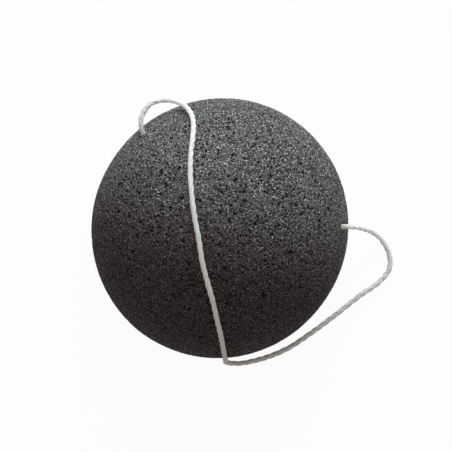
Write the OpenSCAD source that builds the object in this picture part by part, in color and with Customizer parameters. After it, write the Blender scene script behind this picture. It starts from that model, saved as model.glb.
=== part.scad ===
// A dry konjac sponge, a half ball of firm fine foam, lying on its flat side.
// A cotton cord runs through the foam and is tied into a hanging loop, which
// lies over the dome. Millimetres, +Z up, with the origin at the middle of the
// flat base.

/* [Sponge] */
// Diameter of the sponge at its widest
sponge_d = 80; // [70:1:90]
// Height of the dome over the flat base
sponge_h = 40; // [36:1:44]
// Rounding of the edge of the base
rim_r = 5; // [3:0.5:8]

/* [Cord channel] */
// Height of the channel over the base
channel_h = 16; // [13:0.5:19]
// Distance from the dome's axis to the straight line between the two mouths
channel_offset = 16; // [12:0.5:19]
// Turn of that line away from the X axis, in degrees
channel_yaw = -25; // [-35:1:-15]
// Bow of the channel at each mouth, in degrees
channel_bow = 28; // [20:1:34]
// Gap between the cord and the foam all round it
cord_gap = 0.2; // [0.1:0.05:0.4]
// Radius of the dimple that the foam forms round the cord at each mouth
dimple_r = 1.8; // [1.4:0.1:2.6]

/* [Cord] */
// Diameter of the cord
cord_d = 1.6; // [1.2:0.1:1.8]
// Depth inside each mouth at which the free loop begins
loop_start = 2; // [1.5:0.1:3]

/* [Knot] */
// Gap between the knot and the foam round it
pocket_gap = 0.4; // [0.2:0.1:1]

/* [Hidden] */
$fn = 96;
up = [0, 0, 1];

// The rim's tube is centred here, and the dome's ball touches it from outside
// and the top of the dome from below
rim_x = sponge_d / 2 - rim_r;
crown_h = sponge_h - rim_r;
ball_r = (rim_x ^ 2 + crown_h ^ 2 - rim_r ^ 2) / (2 * (crown_h - rim_r));
ball_z = sponge_h - ball_r;
// Where the ball runs into the rim
seam_share = ball_r / (ball_r - rim_r);
seam_x = rim_x * seam_share;
seam_z = ball_z + (rim_r - ball_z) * seam_share;

// The channel is an arc in a level plane. It runs from the left mouth to the
// right one and bows towards the dome's axis.
half_chord = sqrt(ball_r ^ 2 - (channel_h - ball_z) ^ 2 - channel_offset ^ 2);
arc_r = half_chord / sin(channel_bow);
along = [cos(channel_yaw), sin(channel_yaw), 0];
across = [-sin(channel_yaw), cos(channel_yaw), 0];
arc_centre = channel_h * up + (channel_offset + arc_r * cos(channel_bow)) * across;
cord_r = cord_d / 2;
channel_r = cord_r + cord_gap;
// Past each mouth the cutter runs on by this much
overrun = 2 * cord_d;
loop_turn = channel_bow - loop_start / arc_r * 180 / PI;
overrun_turn = channel_bow + overrun / arc_r * 180 / PI;

// The knot's sizes, in cord diameters. It is a reef knot: two bights, each
// drawn through the other.
// Half the width of a bight at its bend
bight_share = 1.7;
// Half the distance between a bight's two legs at its neck
neck_share = 0.54;
// Rise of each bight over the knot's middle plane
rise_share = 0.6;
// Half the length over which a bight's legs spread from neck to bend
spread_share = 1.1;
// Length of the cut end past the neck, and how far it splays
tail_share = 1.2;
splay_share = 0.5;
// Distance from the knot's middle to the plain cord on each side
reach_share = 4.4;
bight_w = bight_share * cord_d;
neck_w = neck_share * cord_d;
rise = rise_share * cord_d;
spread = spread_share * cord_d;
bight_end = spread + bight_w;
tail_l = tail_share * cord_d;
splay = splay_share * cord_d;
knot_turn = reach_share * cord_d / arc_r * 180 / PI;
knot_x = arc_r * sin(knot_turn);
knot_y = arc_r * (1 - cos(knot_turn));
pocket_r = bight_w + cord_r + pocket_gap;
pocket_half = bight_end + tail_l + cord_d - pocket_r;

// The free loop's route between the mouths, down the left flank, over the dome,
// down to the table in front of it, round to the right and up again
route = [
    [-24, 32, 15.4], [-23.3, 35.2, 13.4], [-20.8, 38.3, 11.4], [-17, 39.2, 10.8],
    [-13, 38.6, 13], [-10.2, 36.8, 17], [-8.5, 34.2, 21.5], [-7.8, 31, 26.1],
    [-8, 26.5, 30.5], [-8.5, 21, 34.4], [-8.5, 15, 37.4], [-8, 9, 39.4],
    [-7.2, 3, 40.4], [-6, -3.5, 40.5], [-5, -10, 39.6], [-3.5, -16, 37.8],
    [-2, -21.5, 35.1], [-0.8, -27, 31.2], [0.3, -32, 26.2], [1, -36.2, 20],
    [1.5, -39.2, 13.3], [1.8, -40.9, 8], [1.9, -41.5, 5], [3.5, -42.3, 2.4],
    [6.5, -42.5, 1], [10.5, -41.8, 0.9], [20.5, -38.4, 0.9], [28.5, -32.9, 0.9],
    [35.5, -27.7, 0.9], [44, -21, 0.9], [50.3, -16.7, 0.9], [53.2, -12.8, 0.9],
    [53.1, -8, 0.9], [50.8, -4, 2], [48, -1.8, 5.6], [44.8, -0.4, 10.8],
    [41, 0.4, 14.6]
];

// Rings of the swept cord: its sides, the cord diameters from ring to ring, and
// the fewest rings between two points of the route
cord_sides = 8;
ring_share = 3;
ring_floor = 2;
// Steps in the knot: along a leg, round a bend and along a standing end
leg_steps = 12;
bend_steps = 10;
end_steps = 6;

// A point of the channel's line and its direction there, at a turn in degrees
// from the middle, positive to the right
function arc_point(turn) = arc_centre + arc_r * (sin(turn) * along - cos(turn) * across);
function arc_heading(turn) = cos(turn) * along + sin(turn) * across;

function unit(v) = v / norm(v);

// The heading at each point of a path, which eases towards its shorter side
function headings(path, first, last) = [
    for (i = [0 : len(path) - 1])
        i == 0 ? first : i == len(path) - 1 ? last :
        let (back = path[i] - path[i - 1], on = path[i + 1] - path[i])
        unit(norm(on) * unit(back) + norm(back) * unit(on))
];

// A point at share s of the smooth piece between two points
function eased(a, b, heading_a, heading_b, s) =
    (2 * s ^ 3 - 3 * s ^ 2 + 1) * a + (3 * s ^ 2 - 2 * s ^ 3) * b
    + norm(b - a) * ((s ^ 3 - 2 * s ^ 2 + s) * heading_a + (s ^ 3 - s ^ 2) * heading_b);

// The centres of the rings along a smooth cord through the given points
function ring_centres(points, ways) = [
    for (i = [0 : len(points) - 2])
        let (
            gap = norm(points[i + 1] - points[i]),
            steps = max(ring_floor, ceil(gap / (ring_share * cord_d)))
        )
        for (k = [0 : steps - 1])
            eased(points[i], points[i + 1], ways[i], ways[i + 1], k / steps),
    points[len(points) - 1]
];

// One side direction for each ring, carried along without twist
function carried_sides(ways) = [
    for (
        i = 0, side = unit(cross(ways[0], up));
        i < len(ways);
        i = i + 1, side = i < len(ways) ? unit(side - (side * ways[i]) * ways[i]) : side
    ) side
];

// A round cord along ring centres, closed by a flat face at each end
module swept_cord(centres, ways) {
    sides = carried_sides(ways);
    last = len(centres) - 1;
    points = [
        for (i = [0 : last])
            let (side = sides[i], other = cross(ways[i], sides[i]))
            for (k = [0 : cord_sides - 1])
                let (turn = 360 * k / cord_sides)
                centres[i] + cord_r * (cos(turn) * side + sin(turn) * other)
    ];
    faces = [
        [for (k = [0 : cord_sides - 1]) k],
        for (i = [0 : last - 1])
            for (k = [0 : cord_sides - 1])
                let (
                    a = i * cord_sides + k,
                    b = i * cord_sides + (k + 1) % cord_sides
                )
                each [[a, a + cord_sides, b], [b, a + cord_sides, b + cord_sides]],
        [for (k = [cord_sides - 1 : -1 : 0]) last * cord_sides + k]
    ];
    polyhedron(points, faces, convexity = 10);
}

// A stretch of the channel's line with the given radius, between two turns
module arc_rod(radius, from, to) {
    translate(arc_centre)
        rotate([0, 0, channel_yaw - 90 + from])
            rotate_extrude(angle = to - from)
                translate([arc_r, 0]) circle(radius);
}

// A point of a leg at x: at the neck it lies near the knot's middle line, and
// it spreads to the bight's full width
function smooth(s) = let (t = min(max(s, 0), 1)) t * t * (3 - 2 * t);
function leg_y(x) = neck_w + (bight_w - neck_w) * smooth((x + spread) / (2 * spread));
function bight_z(x) = rise * cos(180 * x / bight_end);

// The left strand, which bends back on the right. It runs from the plain cord
// along its standing leg, round its bend and back along its tail.
function strand_points() = [
    for (k = [0 : end_steps - 1])
        let (s = smooth(k / end_steps), x = -knot_x + (knot_x - bight_end) * k / end_steps)
        [x, knot_y + (neck_w - knot_y) * s, -rise * s],
    for (k = [0 : leg_steps - 1])
        let (x = -bight_end + (bight_end + spread) * k / leg_steps)
        [x, leg_y(x), bight_z(x)],
    for (k = [0 : bend_steps])
        let (turn = 180 * k / bend_steps, x = spread + bight_w * sin(turn))
        [x, bight_w * cos(turn), bight_z(x)],
    for (k = [leg_steps - 1 : -1 : 0])
        let (x = -bight_end + (bight_end + spread) * k / leg_steps)
        [x, -leg_y(x), bight_z(x)],
    for (k = [1 : end_steps])
        let (s = k / end_steps)
        [-bight_end - tail_l * s, -neck_w - splay * smooth(s), -rise]
];

module strand() {
    points = strand_points();
    swept_cord(points, headings(points, [cos(knot_turn), -sin(knot_turn), 0], [-1, 0, 0]));
}

// The foam: a ball's cap on a rounded rim, with the cord's channel, the pocket
// in which the knot lies and a dimple at each mouth
module sponge_body() {
    color("#3b3a3b")
    difference() {
        rotate_extrude() {
            intersection() {
                translate([0, ball_z]) circle(ball_r);
                translate([0, seam_z]) square([ball_r, sponge_h]);
            }
            translate([rim_x, rim_r]) circle(rim_r);
            polygon([[0, 0], [rim_x, 0], [rim_x, rim_r], [seam_x, seam_z], [0, seam_z]]);
        }
        arc_rod(channel_r, -overrun_turn, overrun_turn);
        translate(arc_point(0))
            rotate([0, 90, channel_yaw]) {
                translate([0, 0, -pocket_half]) cylinder(r = pocket_r, h = 2 * pocket_half);
                for (end = [-1, 1]) translate([0, 0, end * pocket_half]) sphere(pocket_r);
            }
        for (end = [-1, 1]) translate(arc_point(end * channel_bow)) sphere(dimple_r);
    }
}

// The free stretch of the cord, from one mouth round to the other
module hanging_loop() {
    points = [arc_point(-loop_turn), each route, arc_point(loop_turn)];
    ways = headings(points, -arc_heading(-loop_turn), -arc_heading(loop_turn));
    centres = ring_centres(points, ways);
    color("#e6e4df") swept_cord(centres, headings(centres, ways[0], ways[len(ways) - 1]));
}

// The cord inside the foam, from the left end of the loop to the knot
module inner_run_left() {
    color("#e6e4df") arc_rod(cord_r, -loop_turn, -knot_turn);
}

// The cord inside the foam, from the knot to the right end of the loop
module inner_run_right() {
    color("#e6e4df") arc_rod(cord_r, knot_turn, loop_turn);
}

// The reef knot that closes the loop, hidden in the middle of the foam
module cord_knot() {
    color("#e6e4df")
    translate(arc_point(0))
        rotate([0, 0, channel_yaw])
            for (turn = [0, 180]) rotate([0, turn, 0]) strand();
}

sponge_body();
hanging_loop();
inner_run_left();
inner_run_right();
cord_knot();
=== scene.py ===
"""Konjac sponge: a half ball of charcoal konjac foam that hangs on a twisted cotton cord.

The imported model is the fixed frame. Each sub-assembly is a class that holds its real
sizes in millimetres, and every mesh is written in metres in the frame's own axes, with
+Z up and the origin at the middle of the sponge's flat base.
"""

from __future__ import annotations

import logging
import math
from collections.abc import Sequence
from dataclasses import dataclass, field
from enum import Enum

import bpy
import numpy as np
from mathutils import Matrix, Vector, noise
from mathutils.kdtree import KDTree

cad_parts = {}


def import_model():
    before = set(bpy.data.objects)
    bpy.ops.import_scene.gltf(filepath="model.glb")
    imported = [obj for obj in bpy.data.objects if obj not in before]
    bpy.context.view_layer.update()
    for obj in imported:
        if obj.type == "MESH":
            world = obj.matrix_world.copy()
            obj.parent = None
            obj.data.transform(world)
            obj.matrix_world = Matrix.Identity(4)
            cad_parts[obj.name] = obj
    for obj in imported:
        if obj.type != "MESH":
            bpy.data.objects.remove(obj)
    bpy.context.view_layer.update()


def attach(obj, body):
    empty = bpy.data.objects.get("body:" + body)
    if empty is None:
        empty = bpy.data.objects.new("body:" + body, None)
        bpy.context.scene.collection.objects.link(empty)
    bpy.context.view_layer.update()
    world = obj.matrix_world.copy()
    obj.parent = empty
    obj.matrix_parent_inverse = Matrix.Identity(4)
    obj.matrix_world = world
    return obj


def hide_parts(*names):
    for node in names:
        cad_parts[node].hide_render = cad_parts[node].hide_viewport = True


LOG = logging.getLogger("konjac_sponge")
BODY = "root"
MM = 0.001
BAKE_MAP = "OFBake"
UP = np.array([0.0, 0.0, 1.0])
AREA_STEPS = 500
CURVE_PIECES = 8


class Slot(Enum):
    """Names for the sponge's two material slots."""

    FOAM = "konjac_foam"
    CORD = "cotton_cord"


class Twist(Enum):
    """Which way a cord's plies turn."""

    S = -1
    Z = 1


def linear(hex_colour: str) -> tuple[float, float, float, float]:
    """Turn an sRGB hex colour into linear light.

    Args:
        hex_colour: colour such as "#3b3a3b".

    Returns:
        Red, green, blue and an alpha of one.
    """
    shares = [int(hex_colour[at : at + 2], 16) / 255 for at in (1, 3, 5)]
    light = [c / 12.92 if c <= 0.04045 else ((c + 0.055) / 1.055) ** 2.4 for c in shares]
    return (light[0], light[1], light[2], 1.0)


def per_metre(size_mm: float) -> float:
    """Return a texture's scale for a feature of this size in millimetres."""
    return 1 / (size_mm * MM)


def add_node(
    tree: bpy.types.NodeTree,
    kind: str,
    inputs: dict[str | int, object] | None = None,
    **settings: object,
) -> bpy.types.Node:
    """Add a shader node with its settings, values and links.

    Args:
        tree: node tree that takes the node.
        kind: Blender's type name without its ShaderNode prefix.
        inputs: for each input's name or number, a value or the socket that feeds it.
        settings: the node's own properties.

    Returns:
        The new node.
    """
    made = tree.nodes.new("ShaderNode" + kind)
    for name, value in settings.items():
        setattr(made, name, value)
    for key, value in (inputs or {}).items():
        if isinstance(value, bpy.types.NodeSocket):
            tree.links.new(value, made.inputs[key])
        else:
            made.inputs[key].default_value = value
    return made


def new_material(name: str) -> tuple[bpy.types.Material, bpy.types.NodeTree]:
    """Make an empty node material.

    Args:
        name: the finish's common name.

    Returns:
        The material and its empty node tree.
    """
    material = bpy.data.materials.new(name)
    material.use_nodes = True
    material.node_tree.nodes.clear()
    return material, material.node_tree


def add_object(name: str, data: bpy.types.ID) -> bpy.types.Object:
    """Make an object and link it to the scene.

    Args:
        name: its name.
        data: its mesh, lamp or camera.

    Returns:
        The object.
    """
    made = bpy.data.objects.new(name, data)
    bpy.context.scene.collection.objects.link(made)
    return made


def seen_rays(tree: bpy.types.NodeTree) -> bpy.types.NodeSocket:
    """Tell the rays that show a background from those that carry its light.

    Args:
        tree: node tree of a floor or a world.

    Returns:
        One for camera, glossy and transmission rays and zero for the rest.
    """
    path = add_node(tree, "LightPath").outputs
    direct = add_node(tree, "Math", {0: path["Is Camera Ray"], 1: path["Is Glossy Ray"]})
    seen = add_node(
        tree,
        "Math",
        {0: direct.outputs[0], 1: path["Is Transmission Ray"]},
        use_clamp=True,
    )
    return seen.outputs[0]


@dataclass(frozen=True)
class KonjacFoam:
    """Konjac fibre foam with bamboo charcoal, moulded as a gel, frozen and dried firm.

    The charcoal makes it nearly black. The dried cell walls stand out as a fine pale net that
    shows most where light grazes it, and each open cell between them is a dark hole. Pale flecks
    are painted glints, and each cut bubble is painted darker by its depth, as painted shade. The
    whole side towards -Y, away from the windows, is painted darker, with flatter walls, as painted
    shade.
    """

    wall: str = "#737371"
    # The dark foam between the walls, and also the colour of the painted shade on the -Y side.
    skin: str = "#29191e"
    # The dark inside of the cells, and also the painted shade that darkens cut bubbles by their
    # depth and the cord's hole.
    cell: str = "#140708"
    # Pale flecks standing in for the glints of the cell walls: painted highlights.
    painted_glint: str = "#d6d8d5"
    roughness: float = 0.55
    glint: float = 0.018
    ior: float = 1.5
    # Real cells go down to 0.2 mm and fibres to 0.05 mm. These are as coarse as they need
    # to be to show.
    net_mm: float = 1.15
    grain_mm: float = 0.8
    fibre_mm: float = 0.45
    cloud_mm: float = 12.0
    octaves: float = 2.0
    wall_edge: float = 0.22
    cloud_range: tuple[float, float] = (0.3, 0.7)
    thinnest_net: float = 0.75
    painted_glint_range: tuple[float, float] = (0.58, 0.66)
    pore_range: tuple[float, float] = (0.12, 0.6)
    pit_shade_share: float = 0.9
    wall_bump: float = 1.0
    wall_rise_mm: float = 0.3
    fibre_bump: float = 0.8
    fibre_rise_mm: float = 0.2
    # Painted shade: the side towards -Y, away from the windows, is mixed towards the skin colour
    # and its walls' bump is flattened.
    painted_shade_way: tuple[float, float, float] = (0.3, 0.95, 0.0)
    painted_shade_range_mm: tuple[float, float] = (26.0, -18.0)
    painted_shade_share: float = 0.74

    def painted_shade(
        self, tree: bpy.types.NodeTree, place: bpy.types.NodeSocket
    ) -> bpy.types.NodeSocket:
        """Draw the painted shade on the side away from the windows, towards -Y.

        Args:
            tree: the finish's node tree.
            place: the point in the frame.

        Returns:
            Zero on the lit side towards +Y, and painted_shade_share on the shaded side towards -Y.
        """
        along = add_node(tree, "VectorMath", {0: place, 1: self.painted_shade_way}, operation="DOT_PRODUCT")
        lit_side_mm, shaded_side_mm = self.painted_shade_range_mm
        # Painted shade: none up to lit_side_mm along painted_shade_way, and full at
        # shaded_side_mm.
        closed = add_node(
            tree,
            "MapRange",
            {
                "Value": along.outputs["Value"],
                "From Min": lit_side_mm * MM,
                "From Max": shaded_side_mm * MM,
                "To Max": self.painted_shade_share,
            },
            interpolation_type="SMOOTHSTEP",
        )
        return closed.outputs[0]

    def cells(
        self, tree: bpy.types.NodeTree, place: bpy.types.NodeSocket, size_mm: float
    ) -> tuple[bpy.types.NodeSocket, bpy.types.NodeSocket]:
        """Draw one size of the net of cell walls.

        Args:
            tree: the finish's node tree.
            place: the point in the frame.
            size_mm: the usual distance between two cells.

        Returns:
            One on the walls and zero inside the cells, and each cell's own random share.
        """
        edge = add_node(
            tree,
            "TexVoronoi",
            {"Vector": place, "Scale": per_metre(size_mm)},
            feature="DISTANCE_TO_EDGE",
        )
        wall = add_node(
            tree,
            "MapRange",
            {
                "Value": edge.outputs["Distance"],
                "From Max": self.wall_edge,
                "To Min": 1.0,
                "To Max": 0.0,
            },
            interpolation_type="SMOOTHSTEP",
        )
        tint = add_node(tree, "TexVoronoi", {"Vector": place, "Scale": per_metre(size_mm)})
        own = add_node(tree, "SeparateColor", {0: tint.outputs["Color"]})
        return wall.outputs[0], own.outputs[0]

    def pattern_colour(
        self,
        tree: bpy.types.NodeTree,
        place: bpy.types.NodeSocket,
        walls: bpy.types.NodeSocket,
        darker: bpy.types.NodeSocket,
        fibre: bpy.types.NodeSocket,
    ) -> bpy.types.NodeSocket:
        """Colour the foam's pattern, before the painted shade of its -Y side is mixed in.

        Args:
            tree: the finish's node tree.
            place: the point in the frame.
            walls: one on the cell walls and zero inside the cells.
            darker: each cell's own share of the holes' colour.
            fibre: smooth noise of the fibres' size.

        Returns:
            The colour of a patchy pale net over dark cells, with pale flecks as painted glints and
            cut bubbles painted dark by their depth, as painted shade.
        """
        cloud = add_node(
            tree,
            "TexNoise",
            {"Vector": place, "Scale": per_metre(self.cloud_mm), "Detail": self.octaves},
        )
        patchy = add_node(
            tree,
            "MapRange",
            {
                "Value": cloud.outputs["Fac"],
                "From Min": self.cloud_range[0],
                "From Max": self.cloud_range[1],
                "To Min": self.thinnest_net,
            },
        )
        pale = add_node(tree, "Math", {0: walls, 1: patchy.outputs[0]}, operation="MULTIPLY")
        base = add_node(
            tree,
            "MixRGB",
            {"Fac": darker, "Color1": linear(self.skin), "Color2": linear(self.cell)},
        )
        netted = add_node(
            tree,
            "MixRGB",
            {"Fac": pale.outputs[0], "Color1": base.outputs[0], "Color2": linear(self.wall)},
        )
        # Painted glints: the colour turns pale where the fibre noise peaks.
        bright = add_node(
            tree,
            "MapRange",
            {
                "Value": fibre,
                "From Min": self.painted_glint_range[0],
                "From Max": self.painted_glint_range[1],
            },
        )
        glinted = add_node(
            tree,
            "MixRGB",
            {"Fac": bright.outputs[0], "Color1": netted.outputs[0], "Color2": linear(self.painted_glint)},
        )
        # Painted shade: the deeper a cut bubble, and in the cord's hole, the more the colour goes
        # to the cell colour.
        pore = add_node(tree, "Attribute", attribute_name="pore").outputs["Fac"]
        pit_shade_mask = add_node(
            tree,
            "MapRange",
            {
                "Value": pore,
                "From Min": self.pore_range[0],
                "From Max": self.pore_range[1],
                "To Max": self.pit_shade_share,
            },
            interpolation_type="SMOOTHSTEP",
        )
        pit_shaded = add_node(
            tree,
            "MixRGB",
            {"Fac": pit_shade_mask.outputs[0], "Color1": glinted.outputs[0], "Color2": linear(self.cell)},
        )
        return pit_shaded.outputs[0]

    def relief(
        self,
        tree: bpy.types.NodeTree,
        walls: bpy.types.NodeSocket,
        fibre: bpy.types.NodeSocket,
        painted_shade: bpy.types.NodeSocket,
    ) -> bpy.types.NodeSocket:
        """Raise the cell walls and fibres.

        Args:
            tree: the finish's node tree.
            walls: one on the cell walls and zero inside the cells.
            fibre: smooth noise of the fibres' size.
            painted_shade: the mask of the painted shade towards -Y, which also flattens the walls.

        Returns:
            The bumped normal.
        """
        eased = add_node(tree, "Math", {0: self.wall_bump, 1: painted_shade}, operation="SUBTRACT")
        raised = add_node(
            tree,
            "Bump",
            {
                "Strength": eased.outputs[0],
                "Distance": self.wall_rise_mm * MM,
                "Height": walls,
            },
        )
        rough = add_node(
            tree,
            "Bump",
            {
                "Strength": self.fibre_bump,
                "Distance": self.fibre_rise_mm * MM,
                "Height": fibre,
                "Normal": raised.outputs[0],
            },
        )
        return rough.outputs[0]

    def material(self) -> bpy.types.Material:
        """Build the finish.

        Returns:
            The material for the foam's skin and open cells.
        """
        material, tree = new_material("charcoal konjac foam, moulded and dried")
        place = add_node(tree, "TexCoord").outputs["Object"]
        fibre = add_node(
            tree,
            "TexNoise",
            {"Vector": place, "Scale": per_metre(self.fibre_mm), "Detail": self.octaves},
        ).outputs["Fac"]
        net, net_share = self.cells(tree, place, self.net_mm)
        grain, grain_share = self.cells(tree, place, self.grain_mm)
        walls = add_node(tree, "Math", {0: net, 1: grain}, operation="MAXIMUM").outputs[0]
        darker = add_node(tree, "Math", {0: net_share, 1: grain_share}, operation="MULTIPLY")
        pattern_colour = self.pattern_colour(tree, place, walls, darker.outputs[0], fibre)
        painted_shade = self.painted_shade(tree, place)
        # Painted shade: the -Y side, away from the windows, is mixed towards the dark skin colour.
        colour = add_node(
            tree, "MixRGB", {"Fac": painted_shade, "Color1": pattern_colour, "Color2": linear(self.skin)}
        )
        shader = add_node(
            tree,
            "BsdfPrincipled",
            {
                "Base Color": colour.outputs[0],
                "Roughness": self.roughness,
                "Normal": self.relief(tree, walls, fibre, painted_shade),
                "IOR": self.ior,
                "Specular IOR Level": self.glint,
            },
        )
        add_node(tree, "OutputMaterial", {"Surface": shader.outputs[0]})
        return material


@dataclass(frozen=True)
class TwistedCotton:
    """Undyed cotton string, spun and laid up from three plies.

    The matt fibres scatter light softly and let it through the cord, the grooves between the plies
    are painted darker, as painted shade, and read as faint slanting marks, and the fibres of each
    ply run nearly along the cord. The cord is painted a little greyer towards its ends near the
    foam, where it goes in and out of its hole.
    """

    lint: str = "#f1f0ec"
    # A darker cotton tone, for the strands and for the painted shade in the grooves.
    groove: str = "#d8d4cb"
    # The grey that the cord is mixed towards near its ends.
    dust: str = "#8f8e8a"
    roughness: float = 0.85
    gloss: float = 0.2
    sheen: float = 0.15
    sheen_roughness: float = 0.4
    glow_mm: float = 3.5
    # Cotton fibres are about 0.02 mm thick. The strands are as coarse as they need to be
    # to show.
    strand_mm: float = 0.16
    strand_octaves: float = 2.0
    strand_range: tuple[float, float] = (0.3, 0.7)
    strand_share: float = 0.3
    strand_bump: float = 0.15
    strand_rise_mm: float = 0.06
    slub_mm: float = 5.0
    slub_octaves: float = 1.0

    def colour(
        self, tree: bpy.types.NodeTree, strands: bpy.types.NodeSocket
    ) -> bpy.types.NodeSocket:
        """Colour the cord.

        Args:
            tree: the finish's node tree.
            strands: smooth noise drawn out along the fibres.

        Returns:
            The lint's colour, darker between strands, painted darker in the grooves as painted
            shade, and greyer near the ends.
        """
        tone = add_node(
            tree,
            "MapRange",
            {
                "Value": strands,
                "From Min": self.strand_range[0],
                "From Max": self.strand_range[1],
                "To Max": self.strand_share,
            },
        )
        pale = add_node(
            tree,
            "MixRGB",
            {"Fac": tone.outputs[0], "Color1": linear(self.lint), "Color2": linear(self.groove)},
        )
        place = add_node(tree, "TexCoord").outputs["Object"]
        slub = add_node(
            tree,
            "TexNoise",
            {"Vector": place, "Scale": per_metre(self.slub_mm), "Detail": self.slub_octaves},
        )
        # Painted shade: the grooves between plies are mixed towards the darker tone.
        depth = add_node(tree, "Attribute", attribute_name="groove").outputs["Fac"]
        shade = add_node(tree, "Math", {0: depth, 1: slub.outputs["Fac"]}, operation="MULTIPLY")
        groove_shaded = add_node(
            tree,
            "MixRGB",
            {"Fac": shade.outputs[0], "Color1": pale.outputs[0], "Color2": linear(self.groove)},
        )
        # The cord turns greyer towards its ends.
        greyed_ends = add_node(tree, "Attribute", attribute_name="dust").outputs["Fac"]
        greyed = add_node(
            tree,
            "MixRGB",
            {"Fac": greyed_ends, "Color1": groove_shaded.outputs[0], "Color2": linear(self.dust)},
        )
        return greyed.outputs[0]

    def material(self) -> bpy.types.Material:
        """Build the finish.

        Returns:
            The material for every stretch of the cord.
        """
        material, tree = new_material("undyed cotton, spun and three-ply laid")
        lie = add_node(tree, "Attribute", attribute_name="lie").outputs["Vector"]
        strands = add_node(
            tree,
            "TexNoise",
            {"Vector": lie, "Scale": per_metre(self.strand_mm), "Detail": self.strand_octaves},
        ).outputs["Fac"]
        relief = add_node(
            tree,
            "Bump",
            {
                "Strength": self.strand_bump,
                "Distance": self.strand_rise_mm * MM,
                "Height": strands,
            },
        )
        shader = add_node(
            tree,
            "BsdfPrincipled",
            {
                "Base Color": self.colour(tree, strands),
                "Roughness": self.roughness,
                "Normal": relief.outputs[0],
                "Specular IOR Level": self.gloss,
                "Subsurface Weight": 1.0,
                "Subsurface Radius": (1.0, 1.0, 1.0),
                "Subsurface Scale": self.glow_mm * MM,
                "Sheen Weight": self.sheen,
                "Sheen Roughness": self.sheen_roughness,
            },
        )
        add_node(tree, "OutputMaterial", {"Surface": shader.outputs[0]})
        return material


@dataclass(frozen=True)
class WhiteBoard:
    """Matt white paper board under the sponge.

    It shows as pure white to the eye and in reflections, keeps a faint soft shadow, and
    gives back light as pale paper does.
    """

    paper: str = "#b4b4b4"
    shown: str = "#ffffff"
    shadow_share: float = 0.05

    def material(self) -> bpy.types.Material:
        """Build the finish.

        Returns:
            The floor's material.
        """
        material, tree = new_material("matt white paper board")
        seen = seen_rays(tree)
        share = add_node(tree, "Math", {0: seen, 1: 1 - self.shadow_share}, operation="MULTIPLY")
        colour = add_node(
            tree,
            "MixRGB",
            {"Fac": seen, "Color1": linear(self.paper), "Color2": linear(self.shown)},
        )
        lit = add_node(tree, "BsdfDiffuse", {"Color": colour.outputs[0]})
        white = add_node(tree, "Emission", {"Color": linear(self.shown), "Strength": 1.0})
        mixed = add_node(
            tree, "MixShader", {0: share.outputs[0], 1: lit.outputs[0], 2: white.outputs[0]}
        )
        add_node(tree, "OutputMaterial", {"Surface": mixed.outputs[0]})
        return material


@dataclass
class MeshParts:
    """Points, triangles and surface values that grow into one mesh.

    Lengths are in millimetres. Each triangle has three places on the bake map, and each
    point has one value of every named kind.
    """

    points: list[np.ndarray] = field(default_factory=list)
    faces: list[np.ndarray] = field(default_factory=list)
    places: list[np.ndarray] = field(default_factory=list)
    values: dict[str, list[np.ndarray]] = field(default_factory=dict)
    count: int = 0

    def add(
        self,
        points: np.ndarray,
        faces: np.ndarray,
        places: np.ndarray,
        **values: np.ndarray,
    ) -> None:
        """Add one closed shape.

        Args:
            points: its points, one row each.
            faces: its triangles as point numbers that start from zero.
            places: the bake map's place of each corner, shaped (faces, 3, 2).
            values: a value or a vector for each point, by name.
        """
        self.points.append(points)
        self.faces.append(faces + self.count)
        self.places.append(places)
        for name, value in values.items():
            self.values.setdefault(name, []).append(value)
        self.count += len(points)

    def build(self, name: str, material: bpy.types.Material) -> bpy.types.Object:
        """Make the object.

        Args:
            name: the piece's name.
            material: its finish.

        Returns:
            The smooth shaded object, linked to the scene.
        """
        points = np.concatenate(self.points)
        faces = np.concatenate(self.faces)
        mesh = bpy.data.meshes.new(name)
        mesh.vertices.add(len(points))
        mesh.vertices.foreach_set("co", (points * MM).ravel())
        mesh.loops.add(faces.size)
        mesh.loops.foreach_set("vertex_index", faces.ravel())
        mesh.polygons.add(len(faces))
        mesh.polygons.foreach_set("loop_start", np.arange(0, faces.size, 3))
        mesh.update(calc_edges=True)
        mesh.uv_layers.new(name=BAKE_MAP)
        mesh.uv_layers[BAKE_MAP].uv.foreach_set("vector", np.concatenate(self.places).ravel())
        for label, parts in self.values.items():
            value = np.concatenate(parts)
            wide = value.ndim == 2
            kind = "FLOAT_VECTOR" if wide else "FLOAT"
            layer = mesh.attributes.new(label, kind, "POINT")
            layer.data.foreach_set("vector" if wide else "value", value.ravel())
        mesh.shade_smooth()
        mesh.materials.append(material)
        mesh.validate()
        return add_object(name, mesh)


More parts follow.
